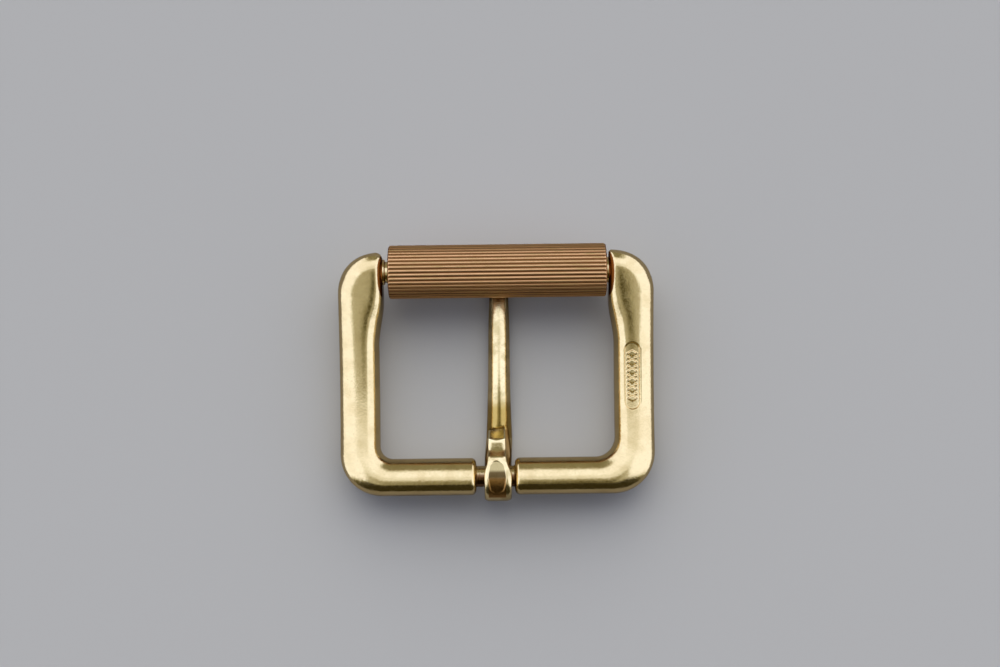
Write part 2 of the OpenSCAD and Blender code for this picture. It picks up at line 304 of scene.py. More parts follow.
def tongueBrassMaterial(seamY, back):
    # back is a place on the shank's back, (y, z), and its slope
    look, panel = tongueBrass, eyePanel
    material, nodes, shader = newMaterial("tongueBrass")
    place = nodes.place()
    x, y, z = nodes.axes(place)[0:3]
    cloud = nodes.noise(place, look["cloudSize"], 4.0)
    grain = nodes.noise(place, look["grainSize"], 2.0)
    colour = nodes.blend(nodes.smooth(cloud, *look["cloudRange"]), look["polished"], look["dull"])
    fromSeam = nodes.away(y, (seamY + look["seamMiddle"]) * mm)
    pastLap = nodes.step(y, seamY, look["lapEdge"])
    atSeam = nodes.product(nodes.step(fromSeam, 0.0, look["seamEdge"], 0.0, look["seamShare"]), pastLap)
    colour = nodes.blend(atSeam, colour, look["seam"])
    # Painted shadow on the shank under the roller
    underRoller = nodes.step(y, rollerAxis.y, look["rollerEdge"], 0.0, look["rollerShare"])
    colour = nodes.blend(underRoller, colour, look["paintedShade"])
    # The facet at the end of the lap stands over the shank's back and is painted brighter as a painted
    # highlight, and painted shade beside the lap lies under it
    shankTop = nodes.product(nodes.maths("SUBTRACT", y, back[0] * mm), back[2])
    overTop = nodes.maths("SUBTRACT", nodes.maths("SUBTRACT", z, back[1] * mm), shankTop)
    onFacet = nodes.product(
        pastLap, nodes.step(y, seamY, look["facetEdge"]), nodes.step(overTop, 0.0, look["facetHeight"])
    )
    # The facet is painted brighter than the polished brass, a painted highlight
    colour = nodes.blend(onFacet, colour, look["facetLight"])
    # Painted shade on the shank beside the lap, under the lap's edges
    beside = nodes.product(
        nodes.step(overTop, 0.0, look["besideTop"]), nodes.step(overTop, 0.0, look["besideFoot"]),
        nodes.step(y, seamY, look["besideEdge"], 0.0, look["besideShare"]),
        nodes.step(y, heelAxis.y, look["heelEdge"]),
    )
    colour = nodes.blend(beside, colour, look["paintedShade"])
    frontY = heelAxis.y + panel["front"]
    rearZ = heelAxis.z + tongue["eyeRadius"] * cos(radians(panel["rear"]))
    fromMiddle = nodes.away(x, (tongue["middleX"] + panel["off"]) * mm)
    half = nodes.step(y, frontY, (0.0, -panel["widens"]), panel["halfFront"] * mm, panel["half"] * mm)
    curved = nodes.maths("MINIMUM", nodes.maths("DIVIDE", fromMiddle, panel["halfFront"] * mm), 1.0)
    curved = nodes.maths("ADD", y, nodes.product(curved, curved, panel["arch"] * mm))
    inPanel = nodes.product(
        nodes.smooth(nodes.maths("SUBTRACT", half, fromMiddle), 0.0, panel["edge"] * mm),
        nodes.step(curved, frontY, panel["frontEdge"]), nodes.step(z, rearZ, panel["rearEdge"]),
    )
    # The sunk panel is painted lighter towards the tip, darkest near the eye's top and brown towards the
    # rear
    panelTone = nodes.blend(nodes.step(y, heelAxis.y, panel["highEdge"]), panel["high"], panel["mid"])
    panelTone = nodes.blend(nodes.step(y, heelAxis.y, panel["midEdge"]), panelTone, panel["low"])
    colour = nodes.blend(nodes.product(inPanel, panel["dullness"]), colour, panelTone)
    nodes.feed(shader.inputs["Base Color"], colour)
    rough = nodes.smooth(grain, *look["grainRange"], *look["roughness"])
    rough = nodes.maths("ADD", rough, nodes.product(inPanel, panel["rougher"]))
    nodes.feed(shader.inputs["Roughness"], rough)
    bumpInto(nodes, shader, grain, look["grainDepth"])
    return material


# Cross sections of the cast bars

barSection = {
    # Widths of a flank where it is nearly level, where it slopes and where it is steep
    "outer": (1.0, 2.05, 0.5), "inner": (0.95, 1.2, 1.05), "face": (0.9, 0.62, 0.5), "boss": (1.0, 2.1, 1.4),
    # Slopes where one width takes over from another, and how far round each they blend, in degrees
    "levelTo": (8.5, 3.5), "steepFrom": (45.0, 12.0),
    "leastLevel": 0.1, "densePoints": 19, "denseStep": 0.08, "denseMost": 0.5, "otherPoints": 14,
    "turnSteps": 360,
}


def flankPath(widths, halfThick):
    # Walks a flank from its crown while the normal turns from up to sideways.
    # Each place is (way across, height over the middle).
    section = barSection
    (levelTo, levelBlend), (steepFrom, steepBlend) = section["levelTo"], section["steepFrom"]
    level, steep = radians(levelTo), radians(steepFrom)
    radii = (
        widths[0] / sin(level), widths[1] / (sin(steep) - sin(level)), widths[2] / (1 - sin(steep))
    )
    across, up = 0.0, 0.0
    path = [(across, up)]
    step = 90 / section["turnSteps"]
    for index in range(section["turnSteps"]):
        turn = (index + 0.5) * step
        radius = mix(radii[0], radii[1], ramp(turn, levelTo - levelBlend, levelTo + levelBlend))
        radius = mix(radius, radii[2], ramp(turn, steepFrom - steepBlend, steepFrom + steepBlend))
        across += radius * radians(step) * cos(radians(turn))
        up -= radius * radians(step) * sin(radians(turn))
        path.append((across, up))
    wide, deep = sum(widths) / across, min(1.0, halfThick / -up)
    path = [(across * wide, halfThick + up * deep) for across, up in path]
    path.append((path[-1][0], 0.0))
    return path


def flankHeight(widths, halfThick):
    # A function that gives a flank's height, as a share of its crown's, at a distance from its edge
    path = flankPath(widths, halfThick)[:-1]
    reaches = [across for across, up in path]

    def heightAt(fromEdge):
        across = reaches[-1] - fromEdge
        if across <= 0:
            return 1.0
        at = min(bisect_left(reaches, across), len(path) - 1)
        span = reaches[at] - reaches[at - 1]
        return mix(path[at - 1][1], path[at][1], (across - reaches[at - 1]) / span) / path[0][1]

    return heightAt


def fitFlank(widths, wanted):
    # The same flank with its nearly level part longer or shorter.
    # All of it is smaller where that isn't enough.
    rest = widths[1] + widths[2]
    least = barSection["leastLevel"]
    if wanted > rest * (1 + least):
        return (wanted - rest, widths[1], widths[2])
    scale = wanted / (rest * (1 + least))
    return (rest * least * scale, widths[1] * scale, widths[2] * scale)


def spreadOver(path, dense=1.0):
    # Places along a flank: close together at its crown where dense is 1, and evenly spread where it is 0
    section = barSection
    lengths = [0.0]
    for one, other in zip(path, path[1:]):
        lengths.append(lengths[-1] + hypot(other[0] - one[0], other[1] - one[1]))
    crowd, rest = section["densePoints"], section["otherPoints"]
    denseSpan = min(section["denseStep"] * (crowd - 1), lengths[-1] * section["denseMost"])
    wanted = [denseSpan * index / (crowd - 1) for index in range(crowd)]
    wanted += [mix(denseSpan, lengths[-1], (index + 1) / rest) for index in range(rest)]
    places, at = [], 0
    last = len(wanted) - 1
    for index, length in enumerate(wanted):
        length = mix(lengths[-1] * index / last, length, dense)
        while at < len(lengths) - 2 and lengths[at + 1] < length:
            at += 1
        span = lengths[at + 1] - lengths[at]
        share = (length - lengths[at]) / span if span else 0.0
        places.append((mix(path[at][0], path[at + 1][0], share), mix(path[at][1], path[at + 1][1], share)))
    return places


def outlineOf(outer, inner):
    # Crown, outer flank, underside, inner flank
    return (
        outer + [(across, -up) for across, up in reversed(outer[:-1])]
        + [(-across, -up) for across, up in inner[1:]]
        + [(-across, up) for across, up in reversed(inner[1:-1])]
    )


# The cast frame: side bars, heel bar with its neck, and the thin bar under the roller

castFrame = {
    "strapWide": 40.0, "barWide": 6.75, "barThick": 6.2, "bowRadius": 80.0, "lowestFromHeel": 13.6,
    "cornerRadius": 7.2, "cornerPower": 2.25, "innerRadius": (2.2, 3.4), "innerMost": 0.42,
    "heelWide": 6.3, "heelThick": 6.0, "heelCrown": 0.45,
    "notchWide": 6.6, "notchX": -0.4, "shoulderRadius": 0.85,
    "neckDiameter": 3.6, "neckFoot": 0.6, "neckFillet": 0.18,
    "pinDiameter": 3.6, "pinFoot": 4.3, "pinFillet": 0.06, "pinBuried": 1.5, "footGap": 0.06,
    "bossWide": 6.7, "bossThick": 6.4, "bossIn": 0.9, "bossFlare": 7.5,
    "bossRound": (1.3, 0.5), "bossPower": 6,
    # Shares of the way down the boss: its round tip, and where its arch and its evenly spread rings end
    "tipShare": 0.3, "archFrom": 0.3, "denseFrom": 0.6, "tipOff": 0.15, "tipCrowd": 1.15, "footCrowd": 1.05,
    "edgeFrom": 2.6, "edgeLong": 7.0, "ringStep": 0.5, "panelStep": 0.08,
    "bossRings": 60, "cornerRings": 30, "heelRings": 26, "shoulderRings": 7,
}

castPanel = {
    "long": 11.4, "wide": 2.55, "deep": 0.35, "fromHeel": 16.9, "off": -0.45, "edge": 0.13,
    "edgeOut": 0.4, "clear": 0.3, "relief": 0.27,
    "lozenges": 6, "lozengeLong": 0.36, "lozengeWide": 0.36, "lozengeFoot": 1.12, "lozengeSlope": 0.36,
    "bead": 0.09, "beadOff": 0.24, "beadFoot": 0.05, "beadSlope": 0.16,
}


def panelDepth(across, along):
    # How deep the casting is sunk at a place in the panel, counted from its middle
    panel = castPanel
    wide, edge = panel["wide"], panel["edge"]
    half = wide / 2
    past = max(abs(along) - (panel["long"] / 2 - half), 0.0)
    floor = ramp(half - hypot(across, past), -edge * panel["edgeOut"], edge)
    pitch = (panel["long"] - wide) / (panel["lozenges"] - 0.2)
    middle = (panel["lozenges"] - 1) / 2
    raised = 0.0
    for index in range(panel["lozenges"]):
        off = abs(along - (index - middle) * pitch)
        reach = abs(across) / (wide * panel["lozengeWide"]) + off / (pitch * panel["lozengeLong"])
        raised = max(raised, ramp(panel["lozengeFoot"] - reach, 0.0, panel["lozengeSlope"]))
        if index:
            off = along - (index - middle - 0.5) * pitch
            away = hypot(abs(across) - wide * panel["beadOff"], off)
            beadFoot = wide * panel["bead"] + panel["beadFoot"]
            raised = max(raised, ramp(beadFoot - away, 0.0, panel["beadSlope"]))
    return floor * (panel["deep"] - panel["relief"] * raised)


def barMiddle(y):
    size = castFrame
    offset = y - heelAxis.y - size["lowestFromHeel"]
    return size["barThick"] / 2 + size["bowRadius"] - sqrt(size["bowRadius"] ** 2 - offset ** 2)


def barRing(outer, inner, atHeel, outerPlaces, innerPlaces, shrink=0.0):
    # A ring across a bar, whose crown parts it in the shares of the two flanks.
    # atHeel is 0 on the bowed side bar and 1 on the straight heel bar.
    wide = (outer - inner).length
    way = (outer - inner) / wide
    outerWide, innerWide = outerPlaces[-1][0], innerPlaces[-1][0]
    scale = wide / (outerWide + innerWide)
    crown = inner + way * innerWide * scale
    top = outerPlaces[0][1]
    ring = []
    for across, up in outlineOf(outerPlaces, innerPlaces):
        edge = outerWide if across > 0 else innerWide
        reach = across * scale * (1 - shrink / (edge * scale))
        place = crown + way * reach
        middle = mix(barMiddle(place.y), heelAxis.z, atHeel)
        ring.append(Vector((place.x, place.y, middle + up * (1 - shrink / top))))
    return ring


def roundRing(x, axis, radius, places, turned):
    # turned is 1 or -1, the way round from the top
    ring = []
    for across, up in outlineOf(places, places):
        angle = atan2(across, up)
        ring.append(Vector((x, axis.y + turned * radius * sin(angle), axis.z + radius * cos(angle))))
    return ring


def mixWidths(one, other, share):
    return tuple(mix(a, b, share) for a, b in zip(one, other))


def mixPlaces(one, other, share):
    return [mixWidths(a, b, share) for a, b in zip(one, other)]


def scaledPlaces(places, wide, tall):
    return [(across * wide, up * tall) for across, up in places]


def flankPlaces(widths, halfThick, wide, dense=1.0):
    # Places along a flank that is scaled to a width
    places = spreadOver(flankPath(widths, halfThick), dense)
    return scaledPlaces(places, wide / places[-1][0], 1)


def halfFrame(innerRadius, shoulderX, endRound):
    # Rings from the end at the roller to the shoulder beside the notch, on the side where x is positive
    size, section = castFrame, barSection
    sideX = size["strapWide"] / 2
    outerX, faceX = sideX + size["barWide"], sideX - size["bossIn"]
    bossTop = rollerAxis.y + size["bossWide"] / 2
    bossFoot = rollerAxis.y - size["bossWide"] / 2 - size["barWide"] / 4
    half, tall = size["heelWide"] / 2, size["heelThick"] / 2
    heelOut, heelIn = heelAxis.y - half, heelAxis.y + half
    corner = size["cornerRadius"]
    centre = Vector((faceX, bossTop - corner))
    arcX = outerX - faceX
    circle = spreadOver([(sin(radians(turn)), cos(radians(turn))) for turn in range(91)])
    rings = []

    bossHalf = size["bossThick"] / 2
    power = size["cornerPower"]

    def barShareAt(y):
        # 0 where the inner side is the face at the roller, and 1 on the plain bar
        return ramp(bossFoot + size["edgeFrom"] - y, 0.0, size["edgeLong"])

    def arcTop(x):
        return centre.y + corner * max(0.0, 1 - (max(0.0, x - centre.x) / arcX) ** power) ** (1 / power)

    def bossShare(place, arcHeight, faceHeight):
        # Height share in the boss, from the ways to its arc and to its face, which meet in a round corner
        away = place - centre
        fromArc, fromFace = outerX - place.x, place.x - faceX
        if away.y > 0:
            powers = (max(0.0, away.x) / arcX) ** power + (away.y / corner) ** power
            ratio = max(powers ** (1 / power), 0.001)
            fromArc = max(away.length * (1 / ratio - 1), 0.0)
        u, v = endRound - fromArc, endRound - fromFace
        if u > 0 and v > 0:
            square = size["bossPower"]
            grow = hypot(u, v) / (u ** square + v ** square) ** (1 / square)
            grow = mix(1.0, grow, ramp(hypot(u, v), 0.0, endRound))
            fromArc, fromFace = endRound - u * grow, endRound - v * grow
        return arcHeight(max(fromArc, 0.0)) * faceHeight(max(fromFace, 0.0))

    def domed(places, crown, end, arcHeight, faceHeight):
        # A flank's places with the boss's own heights, above the upright wall at its foot
        edge = places[-1][0]
        wall = edge * 0.9999  # places past this stand on the wall
        onWall = [up for across, up in places if across > wall]
        lifted = []
        for across, up in places:
            high = bossHalf * bossShare(crown + (end - crown) * (across / edge), arcHeight, faceHeight)
            lifted.append((across, high * up / onWall[0] if across > wall else high))
        return lifted

    def crossRing(outer, inner, halfThick, barShare, inBoss=None):
        # inBoss is how far the ring is from the boss's tip to its foot
        dense = 1.0 if inBoss is None else ramp(inBoss, size["denseFrom"], 1.0)
        wide = (outer - inner).length
        innerWidths = mixWidths(section["face"], section["inner"], barShare)
        innerWide = min(sum(innerWidths), wide * size["innerMost"])
        crown = inner + (outer - inner) * (innerWide / wide)
        reach = outerX - crown.x if inBoss is None else arcX - sum(section["face"])
        outerPlaces = flankPlaces(fitFlank(section["outer"], reach), halfThick, wide - innerWide, dense)
        innerPlaces = flankPlaces(innerWidths, halfThick, innerWide, dense)
        if inBoss is not None:
            arcWidths = mixWidths(section["boss"], section["outer"], ramp(inBoss, size["archFrom"], 1.0))
            arcWidths = fitFlank(arcWidths, reach)
            heights = (flankHeight(arcWidths, bossHalf), flankHeight(innerWidths, bossHalf))
            outerPlaces = domed(outerPlaces, crown, outer, *heights)
            innerPlaces = domed(innerPlaces, crown, inner, *heights)
        return barRing(outer, inner, 0.0, outerPlaces, innerPlaces)

    tip = size["tipShare"]
    startAngle = acos(((endRound + size["tipOff"]) / arcX) ** (power / 2))
    for index in range(1, size["bossRings"] + 1):
        share = index / size["bossRings"]
        angle = startAngle * (1 - share) ** size["tipCrowd"]
        outerOff = arcX * cos(angle) ** (2 / power)
        outer = Vector((centre.x + outerOff, arcTop(centre.x + outerOff)))
        turn = radians(90 * min(share / tip, 1.0))
        innerX = faceX + endRound * (1 - sin(turn))
        inner = Vector((innerX, arcTop(innerX) - endRound * (1 - cos(turn))))
        if share > tip:
            past = (share - tip) / (1 - tip)
            inner.y = mix(bossTop - endRound, bossFoot, past ** size["footCrowd"])
        rings.append(crossRing(outer, inner, bossHalf, barShareAt(inner.y), share))
    sideTop = (centre.y, bossFoot)
    sideEnd = (heelOut + corner, heelIn + innerRadius)
    long = sideTop[1] - sideEnd[1]
    panelY, panelReach = heelAxis.y + castPanel["fromHeel"], castPanel["long"] / 2 + castPanel["clear"]
    panelFrom = (sideTop[1] - (panelY + panelReach)) / long
    panelTo = (sideTop[1] - (panelY - panelReach)) / long
    stations = []
    for start, stop, step in (
        (0, panelFrom, size["ringStep"] / 2), (panelFrom, panelTo, size["panelStep"]),
        (panelTo, 1, size["ringStep"]),
    ):
        count = max(2, round((stop - start) * long / step))
        stations += [mix(start, stop, index / count) for index in range(count)]
    for share in stations[1:] + [1.0]:
        flare = ramp(share * long, 0.0, size["bossFlare"])
        outer = Vector((outerX, mix(sideTop[0], sideEnd[0], share)))
        innerX = sideX - size["bossIn"] * (1 - flare)
        inner = Vector((innerX, mix(sideTop[1], sideEnd[1], share)))
        halfThick = mix(size["bossThick"], size["barThick"], flare) / 2
        rings.append(crossRing(outer, inner, halfThick, barShareAt(inner.y)))
    startWide = hypot(size["barWide"], sideEnd[1] - sideEnd[0])
    startInner = min(sum(section["inner"]), startWide * size["innerMost"])
    outerShares = fitFlank(section["outer"], size["barWide"] * (1 - startInner / startWide))
    heelOuter = scaledPlaces(circle, half - size["heelCrown"], tall)
    heelInner = scaledPlaces(circle, half + size["heelCrown"], tall)
    for index in range(1, size["cornerRings"]):
        share = index / size["cornerRings"]
        angle = radians(90 * share)
        turned = ramp(share, 0, 1)
        outer = Vector((outerX - corner * (1 - cos(angle)), sideEnd[0] - corner * sin(angle)))
        inner = Vector((sideX - innerRadius * (1 - cos(angle)), sideEnd[1] - innerRadius * sin(angle)))
        halfThick = mix(size["barThick"], size["heelThick"], turned) / 2
        outerPlaces = flankPlaces(outerShares, halfThick, startWide - startInner)
        innerPlaces = flankPlaces(section["inner"], halfThick, startInner)
        rings.append(barRing(
            outer, inner, turned, mixPlaces(outerPlaces, heelOuter, turned),
            mixPlaces(innerPlaces, heelInner, turned),
        ))
    rounding = size["shoulderRadius"]
    for index in range(size["heelRings"]):
        share = index / size["heelRings"]
        outer = Vector((mix(outerX - corner, shoulderX + rounding, share), heelOut))
        inner = Vector((mix(sideX - innerRadius, shoulderX + rounding, share), heelIn))
        rings.append(barRing(outer, inner, 1.0, heelOuter, heelInner))
    for index in range(size["shoulderRings"] + 1):
        angle = radians(90 / size["shoulderRings"] * index)
        x = shoulderX + rounding * (1 - sin(angle))
        rings.append(barRing(
            Vector((x, heelOut)), Vector((x, heelIn)), 1.0, heelOuter, heelInner,
            rounding * (1 - cos(angle)),
        ))
    return rings, circle


def barrel(fromX, toX, axis, radius, foot, fillet, places, turned):
    # Rings of a thin bar between two end faces, with a collar and a small fillet at both.
    # foot is the collar's radius and length.
    way = 1 if toX > fromX else -1
    clear = 0.03  # keeps the first ring off the end face
    step = 0.08
    ends = []
    for index in range(5):
        angle = radians(22.5 * index)
        ends.append((clear + fillet * (1 - cos(angle)), foot[0] + fillet * (1 - sin(angle))))
    ends += [(foot[1] - step, foot[0]), (foot[1] - step * 0.2, foot[0]), (foot[1], foot[0] - step * 0.3)]
    ends += [(foot[1], mix(foot[0], radius, 0.7)), (foot[1] + step, radius)]
    start = foot[1] + step * 2
    rings = [roundRing(fromX + way * inset, axis, reach, places, turned) for inset, reach in ends]
    for index in range(5):
        x = mix(fromX + way * start, toX - way * start, index / 4)
        rings.append(roundRing(x, axis, radius, places, turned))
    rings += [roundRing(toX - way * inset, axis, reach, places, turned) for inset, reach in reversed(ends)]
    return rings


def loftedObject(rings, name):
    bm = bmesh.new()
    loftRings(bm, rings, False)
    bmesh.ops.recalc_face_normals(bm, faces=bm.faces)
    return newObject(bm, name)


def joinSolids(first, second):
    # One closed mesh of both, as a bmesh
    union = first.modifiers.new("union", "BOOLEAN")
    union.operation, union.solver, union.object = "UNION", "EXACT", second
    bm = bmesh.new()
    bm.from_object(first, bpy.context.evaluated_depsgraph_get())
    bpy.data.objects.remove(first)
    bpy.data.objects.remove(second)
    return bm


def makeFrame():
    size = castFrame
    notchHalf = size["notchWide"] / 2
    leftX, rightX = size["notchX"] - notchHalf, size["notchX"] + notchHalf
    faceX = size["strapWide"] / 2 - size["bossIn"]
    right, circle = halfFrame(size["innerRadius"][1], rightX, size["bossRound"][1])
    left, circle = halfFrame(size["innerRadius"][0], -leftX, size["bossRound"][0])
    middleX = size["strapWide"] / 2 + size["barWide"] / 2 + castPanel["off"]
    middleY = heelAxis.y + castPanel["fromHeel"]
    for ring in right:
        if abs(ring[0].y - middleY) > castPanel["long"] / 2 + 1:
            continue
        for place in ring:
            if place.z > barMiddle(place.y):
                place.z -= panelDepth(place.x - middleX, place.y - middleY)
    for ring in left:
        for place in ring:
            place.x = -place.x
    neckRadius = size["neckDiameter"] / 2
    neckFoot = (neckRadius, size["neckFoot"])
    neck = barrel(rightX, leftX, heelAxis, neckRadius, neckFoot, size["neckFillet"], circle, -1)
    footRadius = size["pinFoot"] / 2
    pinFoot = (footRadius, faceX - max(rollerHigh.x, -rollerLow.x) - size["footGap"])
    pin = barrel(
        -faceX, faceX, rollerAxis, size["pinDiameter"] / 2, pinFoot, size["pinFillet"], circle, 1
    )
    first, last = [place.copy() for place in pin[0]], [place.copy() for place in pin[-1]]
    for place in first + last:
        place.x += size["pinBuried"] if place.x > 0 else -size["pinBuried"]
    body = loftedObject(right + neck + left[::-1], "body")
    bm = joinSolids(body, loftedObject([first] + pin + [last], "pin"))
    material = castBrassMaterial(size["notchX"], notchHalf, faceX, footRadius)
    finishPiece(bm, "castFrame", "frame", material)


# The fluted roller

flutedRoller = {
    "flutes": 40, "fluteDeep": 0.15, "perFlute": 12, "boreDiameter": 3.8, "boreEdge": 0.15,
    "dome": 0.05, "domePower": 2.5, "domeSteps": 6, "chamferLong": 0.4, "chamferDeep": 0.45,
    "chamferSteps": 8, "bodySteps": 10,
}


def makeRoller():
    size = flutedRoller
    radius = (rollerHigh.z - rollerLow.z) / 2
    bore = size["boreDiameter"] / 2
    count = size["flutes"] * size["perFlute"]
    lips = [  # [radius, way in from the end]
        (bore, size["boreEdge"]), (bore + size["boreEdge"] * 0.3, size["boreEdge"] * 0.3),
        (bore + size["boreEdge"], 0.0),
    ]
    rim = radius - size["chamferDeep"]
    for index in range(1, size["domeSteps"] + 1):
        share = index / size["domeSteps"]
        lips.append((mix(bore + size["boreEdge"], rim, share), size["dome"] * share ** size["domePower"]))
    for index in range(1, size["chamferSteps"] + 1):
        angle = radians(90 / size["chamferSteps"] * index)
        lips.append((
            rim + size["chamferDeep"] * sin(angle), size["dome"] + size["chamferLong"] * (1 - cos(angle))
        ))

    def fluteRing(x, limit):
        ring = []
        for index in range(count):
            angle = tau * index / count
            cut = size["fluteDeep"] * (1 - abs(cos(pi * index / size["perFlute"])))
            reach = min(radius - cut, limit)
            ring.append(Vector((x, rollerAxis.y + reach * sin(angle), rollerAxis.z + reach * cos(angle))))
        return ring

    leftEnd = [fluteRing(rollerLow.x + inset, limit) for limit, inset in lips]
    rightEnd = [fluteRing(rollerHigh.x - inset, limit) for limit, inset in lips]
    inset = size["dome"] + size["chamferLong"]
    body = [
        fluteRing(mix(rollerLow.x + inset, rollerHigh.x - inset, index / size["bodySteps"]), radius)
        for index in range(1, size["bodySteps"])
    ]
    boreRings = [fluteRing(mix(rollerHigh.x, rollerLow.x, share), bore) for share in (0.2, 0.5, 0.8)]
    bm = bmesh.new()
    loftRings(bm, leftEnd + body + rightEnd[::-1] + boreRings, True)
    material = rollerCopperMaterial(radius, size["fluteDeep"])
    finishPiece(bm, "flutedRoller", "roller", material)


# The tongue: a flat bar with a rounded back, bent round the neck and folded onto itself

tongue = {
    "thick": 2.3, "eyeWide": 4.6, "eyeRadius": 4.2, "boreRadius": 1.9, "shankWide": 4.8, "lapWide": 3.0,
    "lapLong": 8.1, "lapSpread": 0.1, "lapSink": 0.05, "middleX": 0.0, "shankOff": 0.3, "lapOff": 0.14,
    "rootOff": 1, "tipLean": 0.3, "tipPast": 2.9, "restGap": 0.15, "arch": 1.25,
    "seamGap": 0.03, "seamCut": 0.2, "cutEdge": (0.14, -0.02), "seamRise": 0.5, "seamDip": 0.1,
    "seamRange": (0.2, 1.15), "seamNear": (0.1, 1.5),
    "widestAt": 0.14, "backPower": 1.43, "bulgeEdge": (1.5, 6.5),
    # Roundings (width, depth), and where each takes over from the one before
    "shankRound": (0.6, 0.6), "faceRound": (0.55, 1.1), "boreRound": (0.12, 0.12), "footRound": (0.1, 0.1),
    "rearRound": (0.6, 0.45), "eyeRound": (0.95, 0.5), "eyeFrom": (-3.2, -0.4),
    "lapRound": (0.9, 0.4), "lapFrom": (0.05, 0.35), "tipRound": (1.4, 0.45), "tipFrom": (0.42, 0.6),
    "facetRound": (0.3, 0.2), "facetFrom": (0.765, 0.8), "roundMost": (0.95, 0.49),
    "overBore": 0.45, "offBore": (0.25, 0.5), "perSide": 14, "perCorner": 12,
    "shankRings": 110, "tipCrowd": 1.15, "eyeRings": 60, "lapRings": 90,
}

shankTable = (  # [share of the way to the tip, share of the width, lift of the underside, thickness share]
    (0.00, 0.94, 0.00, 1.00), (0.05, 0.97, 0.02, 1.00), (0.10, 0.95, 0.10, 1.00),
    (0.16, 0.91, 0.26, 1.00), (0.23, 0.87, 0.52, 1.00), (0.31, 0.83, 0.78, 1.00),
    (0.39, 0.795, 0.96, 0.97), (0.47, 0.78, 1.00, 0.94), (0.55, 0.77, 0.96, 0.90),
    (0.63, 0.76, 0.82, 0.86), (0.71, 0.735, 0.60, 0.79), (0.79, 0.69, 0.34, 0.71),
    (0.86, 0.65, 0.13, 0.61), (0.91, 0.61, 0.03, 0.51), (0.95, 0.55, 0.00, 0.47),
    (0.975, 0.46, 0.02, 0.42), (0.992, 0.35, 0.07, 0.33), (1.00, 0.22, 0.13, 0.22),
)

lapTable = (  # [length share, width share, height share]
    (0.00, 1.53, 1.00), (0.10, 1.50, 0.985), (0.20, 1.38, 0.955), (0.28, 1.20, 0.925), (0.36, 1.07, 0.893),
    (0.43, 1.03, 0.862), (0.47, 1.01, 0.81), (0.52, 1.00, 0.738), (0.57, 1.00, 0.673), (0.61, 1.00, 0.633),
    (0.66, 0.995, 0.595), (0.72, 0.98, 0.552), (0.79, 0.95, 0.505),
    (0.85, 0.93, 0.355), (0.92, 0.91, 0.155), (0.97, 0.90, 0.045), (1.00, 0.89, 0.0),
)


def valuesAt(table, share):
    # Smooth value of every column of a table at a share of its first one
    last = len(table) - 2
    at = next((index for index in range(last + 1) if share <= table[index + 1][0]), last)
    before, low, high, after = (table[min(max(at + step, 0), last + 1)] for step in (-1, 0, 1, 2))
    span = high[0] - low[0]
    k = (share - low[0]) / span
    values = []
    for column in range(1, len(low)):
        rise = high[column] - low[column]
        inSlope = (high[column] - before[column]) / (high[0] - before[0]) * span
        outSlope = (after[column] - low[column]) / (after[0] - low[0]) * span
        if rise * inSlope <= 0:
            inSlope = 0.0
        if rise * outSlope <= 0:
            outSlope = 0.0
        values.append(
            (2 * k ** 3 - 3 * k ** 2 + 1) * low[column] + (k ** 3 - 2 * k ** 2 + k) * inSlope
            + (3 * k ** 2 - 2 * k ** 3) * high[column] + (k ** 3 - k ** 2) * outSlope
        )
    return values


def stripRing(outer, inner, outWide, inWide, outRound, inRound, middleX, bulge, sunk=None):
    # A closed section between a place on the outside and one on the inside of the bend.
    # Its corners are rounded by (width, depth), and bulge mixes it with a rounded section.
    # sunk gives how deep the outer side lies under its own level at a way across.
    size = tongue
    way = inner - outer
    thick = way.length
    flat = []
    halfOut, halfIn = outWide / 2, inWide / 2
    sideMost, deepMost = size["roundMost"]
    outSide, outDeep = min(outRound[0], halfOut * sideMost), min(outRound[1], thick * deepMost)
    inSide, inDeep = min(inRound[0], halfIn * sideMost), min(inRound[1], thick * deepMost)
    sides, corners = size["perSide"], size["perCorner"]
    for index in range(sides):
        flat.append(((halfOut - outSide) * index / sides, 0.0))
    for index in range(corners):
        angle = radians(90 * index / corners)
        flat.append((halfOut - outSide * (1 - sin(angle)), outDeep * (1 - cos(angle))))
    if sunk is not None:
        flat = [(across, deep + sunk(across)) for across, deep in flat]
    for index in range(sides):
        share = index / sides
        flat.append((mix(halfOut, halfIn, share), mix(outDeep, thick - inDeep, share)))
    for index in range(corners):
        angle = radians(90 * index / corners)
        flat.append((halfIn - inSide * (1 - cos(angle)), thick - inDeep * (1 - sin(angle))))
    for index in range(sides + 1):
        flat.append(((halfIn - inSide) * (1 - index / sides), thick))
    ring = []
    total = len(flat) - 1
    for index, (across, deep) in enumerate(flat):
        if bulge > 0:
            angle = pi * index / total
            roundAcross = max(halfOut, halfIn) * sin(angle)
            widest = thick * size["widestAt"]
            if angle < pi / 2:
                roundDeep = widest * (1 - cos(angle))
            else:
                roundDeep = widest + (thick - widest) * abs(cos(angle)) ** size["backPower"]
            across, deep = mix(across, roundAcross, bulge), mix(deep, roundDeep, bulge)
        ring.append((across, deep))
    outerCount = sides + corners
    mirrored = []
    for index in range(total - 1, 0, -1):
        across, deep = ring[index]
        if sunk is not None and index < outerCount:
            deep += sunk(-across) - sunk(across)
        mirrored.append((-across, deep))
    ring += mirrored
    unit = way / thick
    return [
        Vector((middleX + across, outer.x + unit.x * deep, outer.y + unit.y * deep)) for across, deep in ring
    ]


